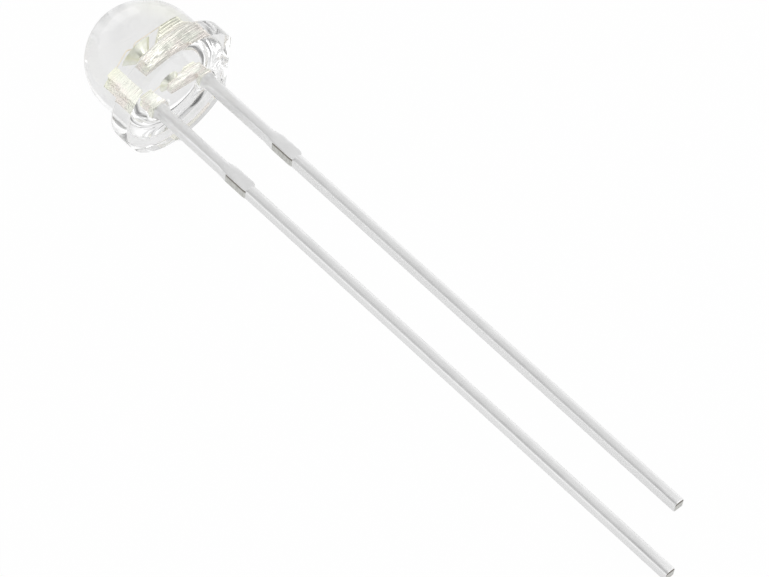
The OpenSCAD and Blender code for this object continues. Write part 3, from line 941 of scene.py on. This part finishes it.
for name, side, length, plate in (("cathode", 1, CATHODE_L, blade), ("anode", -1, ANODE_L, post)):
    whole = lead(name + "_frame", length, LEAD_TOP)
    whole.data.transform(Matrix.Translation((side * LEAD_X, 0, 0)))
    combine(whole, plate)
    if side == 1:
        combine(whole, cone)
    whole.data.transform(LAMP)
    whole.data.shade_smooth()
    whole.data.set_sharp_from_angle(angle=FRAME_CREASE)
    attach(whole, "root")
    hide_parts(name + "_lead")
    print(name, "frame faces:", len(whole.data.polygons), " open edges:", face_outwards(whole))

# %% [markdown]
# ## The bond wires
# A wire bonder melts the end of a gold wire to a ball, presses it on the chip, lifts and bends the wire
# over, and squashes its far end on a pad. A curve with a bevel would give an even wire, and ball and end
# would have to be joined on. Here a Geometry Nodes tree sweeps a circle along the path, and each point of
# the path carries its own thickness, so ball, neck, wire and squashed end are one closed form.

# %% Geometry Nodes: wire on a path


def wire_on_path():
    """The tree; its inputs are a path whose points have a thickness, the number of sides and a material."""
    tree = bpy.data.node_groups.new("wire on a path", "GeometryNodeTree")
    for name, kind in (("Path", "Geometry"), ("Sides", "Int"), ("Finish", "Material")):
        tree.interface.new_socket(name, in_out="INPUT", socket_type="NodeSocket" + kind)
    tree.interface.new_socket("Wire", in_out="OUTPUT", socket_type="NodeSocketGeometry")
    given = add(tree, "NodeGroupInput")
    path = add(tree, "GeometryNodeMeshToCurve", Mesh=given.outputs["Path"]).outputs["Curve"]
    rim = add(tree, "GeometryNodeCurvePrimitiveCircle", Resolution=given.outputs["Sides"], Radius=1.0)
    thickness = add(tree, "GeometryNodeInputNamedAttribute", {"data_type": "FLOAT"}, Name="thickness")
    tube = add(
        tree, "GeometryNodeCurveToMesh", Curve=path, Profile_Curve=rim.outputs["Curve"],
        Scale=thickness.outputs["Attribute"], Fill_Caps=True,
    ).outputs["Mesh"]
    whole = add(tree, "GeometryNodeRealizeInstances", Geometry=tube).outputs[0]
    finished = add(
        tree, "GeometryNodeSetMaterial", Geometry=whole, Material=given.outputs["Finish"],
    ).outputs[0]
    tree.links.new(finished, add(tree, "NodeGroupOutput").inputs["Wire"])
    return tree


WIRE = wire_on_path()
print("tree:", WIRE.name, "with", len(WIRE.nodes), "nodes")

# %% Path of a wire: x, z and radius of each point
WIRE_R, BALL_R, BALL_H = 0.015, 0.04, 0.03
GLUE_AND_CHIP_H = 0.12
CHIP_TOP = CUP_RIM_Z - CUP_DEPTH + GLUE_AND_CHIP_H
BALL_X, BEND_R, RISE, SAG = 0.06, 0.12, 0.3, 0.03
STITCH_FROM_EDGE, STITCH_L, STITCH_R = 0.35, 0.07, 0.02
STITCH_X = OUTER_X - STITCH_FROM_EDGE
# The outlines of ball and stitch: shares of their length, and the share of their radius at each.
BALL_SHAPE = ((0, 0.8), (0.15, 0.95), (0.4, 1), (0.7, 0.97), (0.95, 0.8), (1.1, 0.5))
STITCH_SHAPE = ((0.15, 0.9), (0.4, 1), (0.75, 1), (0.95, 0.8), (1, 0.4))
BEND_STEPS, RUN_STEPS, WIRE_SIDES = 12, 16, 16


def wire_path(landing):
    """A pressed ball, straight up, over a bend, down in a slightly slack run, and flat along the pad."""
    points = [(BALL_X, CHIP_TOP + BALL_H * share, BALL_R * wide) for share, wide in BALL_SHAPE]
    points += [(BALL_X, CHIP_TOP + BALL_H + RISE * share, WIRE_R) for share in (0.1, 0.5)]
    bend = (BALL_X + BEND_R, CHIP_TOP + BALL_H + RISE)
    end = (STITCH_X - STITCH_L / 2, landing + WIRE_R)
    run = (end[0] - bend[0], end[1] - bend[1])
    leave = math.degrees(math.atan2(run[1], run[0]) + math.acos(BEND_R / math.hypot(*run)))
    over = arc(bend, BEND_R, 180, leave, BEND_STEPS)
    points += [(x, z, WIRE_R) for x, z in over]
    for i in range(1, RUN_STEPS + 1):
        t = i / RUN_STEPS
        x, z = (over[-1][k] + (end[k] - over[-1][k]) * t for k in (0, 1))
        points.append((x, z - 4 * SAG * t * (1 - t), WIRE_R))
    points += [(end[0] + STITCH_L * share, end[1], STITCH_R * wide) for share, wide in STITCH_SHAPE]
    return points


print("points on a wire's path:", len(wire_path(POST_Z)))

# %% The two wires
for name, side, landing in (("anode", -1, POST_Z), ("cathode", 1, PAD_Z)):
    path = wire_path(landing)
    steps = [(i, i + 1) for i in range(len(path) - 1)]
    gold = new_object(name + "_gold_wire", [(side * x, 0, z) for x, z, _ in path], steps)
    thickness = gold.data.attributes.new("thickness", "FLOAT", "POINT")
    thickness.data.foreach_set("value", [radius for _, _, radius in path])
    run_tree(gold, WIRE, {"Sides": WIRE_SIDES, "Finish": GOLD})
    one_material(gold, GOLD)
    gold.data.transform(LAMP)
    gold.data.shade_smooth()
    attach(gold, "root")
    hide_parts(name + "_bond_wire")
    length = sum(math.dist(a[:2], b[:2]) for a, b in zip(path, path[1:]))
    print(name, "wire, mm:", round(length, 2), " open edges:", face_outwards(gold))

# %% [markdown]
# ## The view
# Colours are shown with the Standard view transform.

bpy.context.scene.view_settings.view_transform = "Standard"
bpy.context.view_layer.update()
